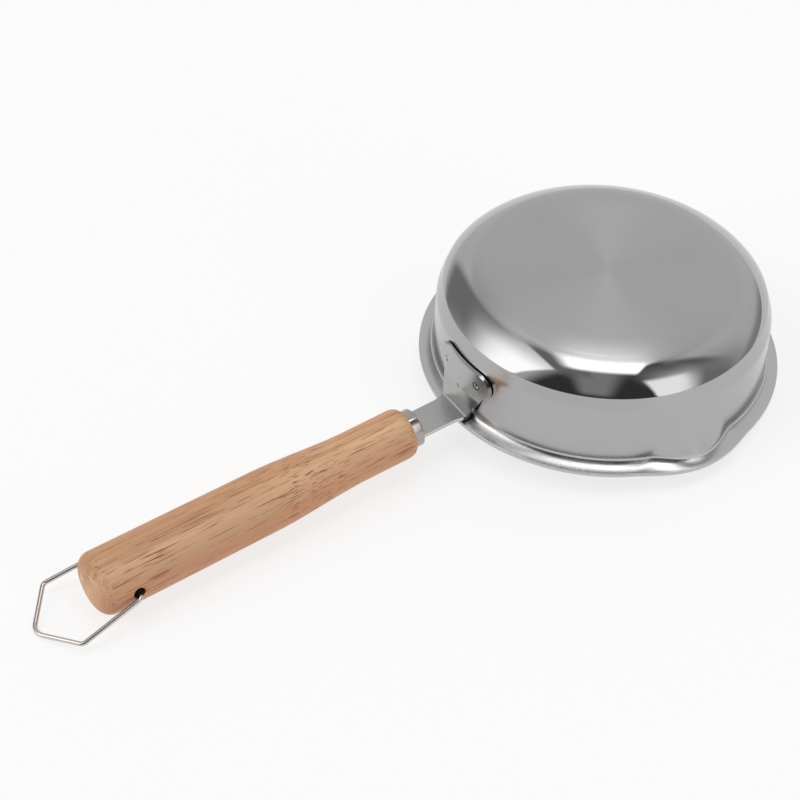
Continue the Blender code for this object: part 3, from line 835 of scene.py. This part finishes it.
BASE_BLEND = (62.5 * MM, 66.5 * MM)
brushed_base = brushed_steel("circular_brushed_stainless_base", "#B0B0B0", 0.33, 0.75, 0.05, BASE_BLEND)
brushed_wall = brushed_steel("circular_brushed_stainless_wall", "#AEAEAE", 0.19, 0.6, 0.03)
print("made", brushed_base.name, "and", brushed_wall.name)

# %% [markdown]
# Stainless steel that a wheel or a tumbling drum has smoothed has no direction. The corner is mirror polished and
# shows the room almost cleanly. The flange, the plate and the drawn wire are smoothed less, so they blur it more.
# Buffing leaves each of them a little uneven, which is the slow noise in the roughness.

# %% Polished and satin stainless steel
HAZE_SIZE = 6 * MM
HAZE = 0.15


def smooth_steel(name, colour, roughness):
    made, tree, shader = new_material(name)
    place = node(tree, "ShaderNodeTexCoord").outputs["Object"]
    haze = node(tree, "ShaderNodeTexNoise", Vector=place, Scale=1 / HAZE_SIZE, Detail=2.0).outputs["Fac"]
    finish = node(
        tree,
        "ShaderNodeMapRange",
        Value=haze,
        From_Min=0.3,
        From_Max=0.7,
        To_Min=roughness * (1 - HAZE),
        To_Max=roughness * (1 + HAZE),
    ).outputs[0]
    tree.links.new(finish, shader.inputs["Roughness"])
    shader.inputs["Base Color"].default_value = linear(colour)
    shader.inputs["Metallic"].default_value = 1.0
    return made


PLATE_COLOUR = "#ADADAC"
polished_corner = smooth_steel("buffed_stainless", "#AEAEAE", BUFFED_ROUGHNESS)
polished_cap = smooth_steel("buffed_stainless_cap", "#ABA4A1", 0.10)
satin_flange = smooth_steel("buffed_stainless_flange", "#BCBCBC", 0.25)
cut_edge = smooth_steel("sheared_stainless_edge", "#BEBEBE", 0.35)
satin_plate = smooth_steel("tumbled_stainless_plate", PLATE_COLOUR, 0.26)
plate_edge = smooth_steel("tumbled_stainless_edge", "#C4C4C4", 0.1)
drawn_wire = smooth_steel("bright_drawn_wire", "#C6C0BC", 0.18)
print("made", polished_corner.name, "and six more")

# %% [markdown]
# A spot weld burns the steel a little: small dark pits where the electrode sparked. Round the deepest dent a dark ring
# is painted too, which is painted shade along the dent's rim. Each mark is a soft band at one distance from its centre,
# and a band at no distance is a dot. The marks are laid flat through the plate, so their places are given across it and
# up it.

# %% The welds' marks, and the painted shade round one dent
WELD_AND_SHADE_COLOUR = "#2E2D2D"
# Each mark: across the plate, height, radius of the ring and width of its line.
WELD_MARKS_AND_RIM_SHADE = (
    (12.9 * MM, 25.3 * MM, 0, 0.75 * MM),
    (11.8 * MM, 23.6 * MM, 0, 0.75 * MM),
    (1.2 * MM, 17.0 * MM, 0, 0.65 * MM),
    (0.5 * MM, 15.8 * MM, 0, 0.5 * MM),
    (-11.4 * MM, 25.9 * MM, 0, 0.8 * MM),
    # This ring is painted shade along the rim of the deepest dent; the dots are burn marks.
    (-11.7 * MM, 25.5 * MM, 1.8 * MM, 0.4 * MM),
)


def add_weld_marks_and_rim_shade(tree, shader):
    place = node(tree, "ShaderNodeTexCoord").outputs["Object"]
    flat = node(tree, "ShaderNodeVectorMath", {"operation": "MULTIPLY"}, _0=place, _1=(0, 1, 1)).outputs[0]
    marks = 0.0
    for across, height, ring_radius, width in WELD_MARKS_AND_RIM_SHADE:
        centre = (0, across, height)
        away = node(tree, "ShaderNodeVectorMath", {"operation": "DISTANCE"}, _0=flat, _1=centre).outputs["Value"]
        off_ring = node(tree, "ShaderNodeMath", {"operation": "SUBTRACT"}, _0=away, _1=ring_radius).outputs[0]
        off_ring = node(tree, "ShaderNodeMath", {"operation": "ABSOLUTE"}, _0=off_ring).outputs[0]
        mark = node(
            tree,
            "ShaderNodeMapRange",
            {"interpolation_type": "SMOOTHSTEP"},
            Value=off_ring,
            From_Min=width * 0.5,
            From_Max=width * 1.1,
            To_Min=1.0,
            To_Max=0.0,
        ).outputs[0]
        marks = node(tree, "ShaderNodeMath", {"operation": "MAXIMUM"}, _0=marks, _1=mark).outputs[0]
    # One dark colour serves for the burn marks and for the painted shade round the dent.
    colours = {"_6": linear(PLATE_COLOUR), "_7": linear(WELD_AND_SHADE_COLOUR)}
    marked = node(tree, "ShaderNodeMix", {"data_type": "RGBA"}, _0=marks, **colours)
    tree.links.new(marked.outputs[2], shader.inputs["Base Color"])


add_weld_marks_and_rim_shade(satin_plate.node_tree, satin_plate.node_tree.nodes["Principled BSDF"])
print("marks on the plate:", len(WELD_MARKS_AND_RIM_SHADE))

# %% [markdown]
# The steel pieces get their materials now. The bowl's come in the order of its finish numbers. On the bracket the
# first is the flat of the sheet and the second its edges, which Solidify set.

# %% The steel pieces' materials
for finish in (brushed_base, polished_corner, brushed_wall, cut_edge, satin_flange):
    bowl_mesh.materials.append(finish)
bracket_mesh.materials.append(satin_plate)
bracket_mesh.materials.append(plate_edge)
ferrule_mesh.materials.append(polished_cap)
wire_mesh.materials.append(drawn_wire)
print("the bowl has", len(bowl_mesh.materials), "finishes")

# %% [markdown]
# Oiled light hardwood. Such a handle is turned from a straight board, so its growth rings lie in it like flat sheets.
# Here the colour runs across the handle in such sheets: a paler, straw-coloured band through the middle, which is a
# painted sheen where the oiled wood would catch the light, and redder, darker ones to each side. They sway a little,
# and each is streaked along the grain. All of it is a solid texture, so the end cuts it across as a saw cuts real wood.

# %% The growth rings and the painted sheen
BAND_WIDTH = 5 * MM
BAND_LENGTH = 120 * MM
ACROSS_RINGS_AND_SHEEN = (-0.62, -0.78, 0)
# The colour at 0.50 is a painted sheen, paler where the oiled wood would catch the light; the other three are ring
# colours.
RING_AND_SHEEN_COLOURS = (("#D19D73", 0.20), ("#E2B58B", 0.50), ("#D9A27A", 0.72), ("#C98F68", 0.95))


def rings_and_painted_sheen(tree, place, tone):
    band_place = node(tree, "ShaderNodeMapping", Vector=place, Scale=(1, 1, BAND_WIDTH / BAND_LENGTH)).outputs[0]
    grain = {"Detail": 4.0, "Roughness": 0.55, "Distortion": 0.4}
    bands = node(tree, "ShaderNodeTexNoise", Vector=band_place, Scale=1 / BAND_WIDTH, **grain).outputs["Fac"]
    across = node(tree, "ShaderNodeVectorMath", {"operation": "DOT_PRODUCT"}, _0=place, _1=ACROSS_RINGS_AND_SHEEN)
    ring = node(
        tree, "ShaderNodeMapRange", Value=across.outputs["Value"], From_Min=-END_RADIUS, From_Max=END_RADIUS
    ).outputs[0]
    sway = node(tree, "ShaderNodeMath", {"operation": "SUBTRACT"}, _0=bands, _1=0.5).outputs[0]
    swayed = node(tree, "ShaderNodeMath", {"operation": "ADD"}, _0=ring, _1=sway).outputs[0]
    # This ramp gives the ring colours and the painted sheen through the middle of the handle.
    ring_and_sheen_colour = node(tree, "ShaderNodeValToRGB", Fac=swayed)
    ramp = ring_and_sheen_colour.color_ramp
    ramp.elements.remove(ramp.elements[1])
    for i, (colour, position) in enumerate(RING_AND_SHEEN_COLOURS):
        element = ramp.elements.new(position) if i else ramp.elements[0]
        element.position = position
        element.color = linear(colour)
    limits = {"From_Min": 0.32, "From_Max": 0.66, "To_Min": 0.80 * tone, "To_Max": 1.08 * tone}
    shade = node(tree, "ShaderNodeMapRange", Value=bands, **limits).outputs[0]
    colour = ring_and_sheen_colour.outputs["Color"]
    return node(tree, "ShaderNodeVectorMath", {"operation": "SCALE"}, _0=colour, Scale=shade).outputs[0]


print("the wood has", len(RING_AND_SHEEN_COLOURS), "ring colours")

# %% [markdown]
# The wood's large pores show as short red-brown dashes along the grain, and as dots on the end. They are the low
# spots of a noise that is stretched along the handle. Real ones are about 0.2 mm wide and a centimetre long.

# %% The pores
PORE_WIDTH = 0.23 * MM
PORE_LENGTH = 11 * MM


def pore_pattern(tree, place):
    pore_place = node(tree, "ShaderNodeMapping", Vector=place, Scale=(1, 1, PORE_WIDTH / PORE_LENGTH)).outputs[0]
    scale = 1 / (PORE_WIDTH * 2)
    pores = node(tree, "ShaderNodeTexNoise", Vector=pore_place, Scale=scale, Detail=2.0, Roughness=0.5).outputs["Fac"]
    limits = {"From_Min": 0.36, "From_Max": 0.40, "To_Min": 0.85, "To_Max": 0.0}
    return node(tree, "ShaderNodeMapRange", Value=pores, **limits).outputs[0]


print("pores are", round(PORE_LENGTH / MM), "mm long")

# %% [markdown]
# The oil leaves a dull sheen and no film, so the wood is fairly rough, with the IOR of an oiled surface. The pores
# are open, so they lie a little below it. The drilled hole is the same wood, much darker.

# %% Oiled hardwood
PORE_DEPTH = 0.1 * MM


def oiled_wood(name, tone):
    made, tree, shader = new_material(name)
    place = node(tree, "ShaderNodeTexCoord").outputs["Object"]
    pores = pore_pattern(tree, place)
    colours = {"_6": rings_and_painted_sheen(tree, place, tone), "_7": linear("#783513")}
    coloured = node(tree, "ShaderNodeMix", {"data_type": "RGBA"}, _0=pores, **colours)
    bump = node(tree, "ShaderNodeBump", {"invert": True}, Strength=0.1, Distance=PORE_DEPTH, Height=pores)
    tree.links.new(coloured.outputs[2], shader.inputs["Base Color"])
    tree.links.new(bump.outputs[0], shader.inputs["Normal"])
    shader.inputs["Roughness"].default_value = 0.5
    shader.inputs["IOR"].default_value = 1.5
    return made


wood_mesh.materials.append(oiled_wood("oiled_light_hardwood", 1.0))
wood_mesh.materials.append(oiled_wood("drilled_hardwood", 0.25))
print("the handle has", len(wood_mesh.materials), "materials")

# %% [markdown]
# The pan lies on a plain, pale table. The table gives off a little light of its own, as a lit white sweep does in a
# studio, so the shade under the pan stays faint.

# %% The table
TABLE_REACH = 6
table_mesh = bpy.data.meshes.new("table")
table_corners = [(x * TABLE_REACH, y * TABLE_REACH, 0) for x, y in ((-1, -1), (1, -1), (1, 1), (-1, 1))]
table_mesh.from_pydata(table_corners, [], [(0, 1, 2, 3)])
table = bpy.data.objects.new("table", table_mesh)
bpy.context.scene.collection.objects.link(table)
pale, pale_tree, pale_shader = new_material("white_table")
pale_shader.inputs["Base Color"].default_value = linear("#8A8A8A")
pale_shader.inputs["Emission Color"].default_value = linear("#FFFFFF")
pale_shader.inputs["Emission Strength"].default_value = 0.75
pale_shader.inputs["Roughness"].default_value = 0.9
pale_shader.inputs["Specular IOR Level"].default_value = 0.0
table_mesh.materials.append(pale)
print("the table is", 2 * TABLE_REACH, "m wide")

# %% [markdown]
# Steel has hardly a colour of its own: it shows the room. So the room is drawn as a lighting plan, a flat map with
# the point overhead in its middle and distances from it in degrees, +X to the right and +Y up. The angle from
# overhead and the bearing of each direction give its place on the plan.

# %% The lighting plan
world = bpy.data.worlds.new("studio")
bpy.context.scene.world = world
world.use_nodes = True
room = world.node_tree
direction = node(room, "ShaderNodeTexCoord").outputs["Generated"]
height = node(room, "ShaderNodeSeparateXYZ", Vector=direction).outputs["Z"]
from_top = node(room, "ShaderNodeMath", {"operation": "ARCCOSINE"}, _0=height).outputs[0]
from_top = node(room, "ShaderNodeMath", {"operation": "DEGREES"}, _0=from_top).outputs[0]
level_part = node(room, "ShaderNodeVectorMath", {"operation": "MULTIPLY"}, _0=direction, _1=(1, 1, 0)).outputs[0]
bearing = node(room, "ShaderNodeVectorMath", {"operation": "NORMALIZE"}, _0=level_part).outputs[0]
plan = node(room, "ShaderNodeVectorMath", {"operation": "SCALE"}, _0=bearing, Scale=from_top).outputs[0]
print("the plan takes", len(room.nodes), "nodes")

# %% [markdown]
# Each soft box or dark card is one panel of the plan: a rectangle with its own brightness, painted over what is under
# it. A soft box fades towards its sides, so every side has its own softness. Each side is one smooth step, and the
# product of the four is the panel's share of the light there.


# %% A panel of the plan
def paint(under, brightness, centre, turn, sides, soft):
    """sides and soft are (left, right, near, far), in degrees from the panel's centre, before it is turned."""
    offset = node(room, "ShaderNodeVectorMath", {"operation": "SUBTRACT"}, _0=plan, _1=(*centre, 0)).outputs[0]
    angle = -math.radians(turn)
    turned = node(room, "ShaderNodeVectorRotate", {"rotation_type": "Z_AXIS"}, Vector=offset, Angle=angle).outputs[0]
    parts = node(room, "ShaderNodeSeparateXYZ", Vector=turned).outputs
    share = 1.0
    for axis, rises, side, softness in zip("XXYY", (True, False, True, False), sides, soft):
        step = node(
            room,
            "ShaderNodeMapRange",
            {"interpolation_type": "SMOOTHSTEP"},
            Value=parts[axis],
            From_Min=side - softness / 2,
            From_Max=side + softness / 2,
            To_Min=0.0 if rises else 1.0,
            To_Max=1.0 if rises else 0.0,
        ).outputs[0]
        share = node(room, "ShaderNodeMath", {"operation": "MULTIPLY"}, _0=share, _1=step).outputs[0]
    return node(room, "ShaderNodeMix", _0=share, _2=under, _3=brightness).outputs[0]


# The bare room, under the first panel.
ROOM = 0.79
print("the bare room has a brightness of", ROOM)

# %% [markdown]
# The panels, from the first painted to the last. Their places were found by following the light back from the pan:
# each bright or dark patch on the polished corner is a mirror image of something in the room. The bright boxes give
# the corner its highlights, and the dark cards between them give the steel its contrast.

# %% The panels
# Each panel: what it is, then brightness, centre, turn, sides and softness.
PANELS = (
    ("dim room beyond the handle", 0.30, (-37.4, 44.3), 82, (-12.9, 43.5, -35.6, 17.1), (16.8, 15.7, 8.3, 59.6)),
    ("dim side behind the camera", 0.29, (4, -20), -8, (-100, 70, -100, 0), (10, 33, 10, 48)),
    ("black cloth over the camera", 0.06, (-2, 6), 7.3, (-100, 26, -100, -5.4), (10, 8, 10, 13)),
    ("long grey screen overhead", 0.38, (-35, -40), 49.5, (2, 78, -13.6, 5.4), (15, 9, 11, 9)),
    ("large soft box, front right", 1.60, (56, -33), -88, (-9, 51, -40, -24), (46, 42, 28, 18)),
    ("dark wedge beside it", 0.10, (30, -11), -41, (-5, 24, -10, 2), (12, 40, 32, 7)),
    ("tall soft box in front", 1.73, (25.3, -96), -7.9, (-26.2, -5.4, -18, 64.6), (3.1, 9.9, 6, 8.1)),
    ("soft box on the left", 2.30, (-59, -28.1), -6.9, (-24, 36.5, 32.2, 65.1), (10, 34.6, 2.8, 41.8)),
    ("dim band by the top light", 0.25, (29, 20), 59.5, (-47, -10, 15, 30.6), (19, 23, 2, 2)),
    ("top light", 3.20, (8, 45), 51.4, (-45, -21, -40.4, -14.5), (8, 5, 2, 9)),
    ("dark card low on the right", 0.40, (0, 0), -12, (78, 140, -45, 45), (12, 4, 30, 30)),
)
light = ROOM
for _, *panel in PANELS:
    light = paint(light, *panel)
print("panels:", ", ".join(panel[0] for panel in PANELS))

# %% [markdown]
# Low down, the studio's white sweep closes the room all round. The wall and the flange mirror it, and the corner
# mirrors the panels above it.

# %% The white sweep
SWEEP = 0.93
SWEEP_CENTRE = (9.2, 14.2, 0)
SWEEP_START, SWEEP_END = 93, 97
from_centre = node(room, "ShaderNodeVectorMath", {"operation": "DISTANCE"}, _0=plan, _1=SWEEP_CENTRE)
beyond = node(
    room,
    "ShaderNodeMapRange",
    {"interpolation_type": "SMOOTHSTEP"},
    Value=from_centre.outputs["Value"],
    From_Min=SWEEP_START,
    From_Max=SWEEP_END,
).outputs[0]
light = node(room, "ShaderNodeMix", _0=beyond, _2=light, _3=SWEEP).outputs[0]
room.links.new(light, room.nodes["Background"].inputs["Color"])
bpy.context.scene.view_settings.view_transform = "Standard"
print("the room takes", len(room.nodes), "nodes")

# %% [markdown]
# Last, the scene is brought up to date.

# %% The last update of the scene
bpy.context.view_layer.update()
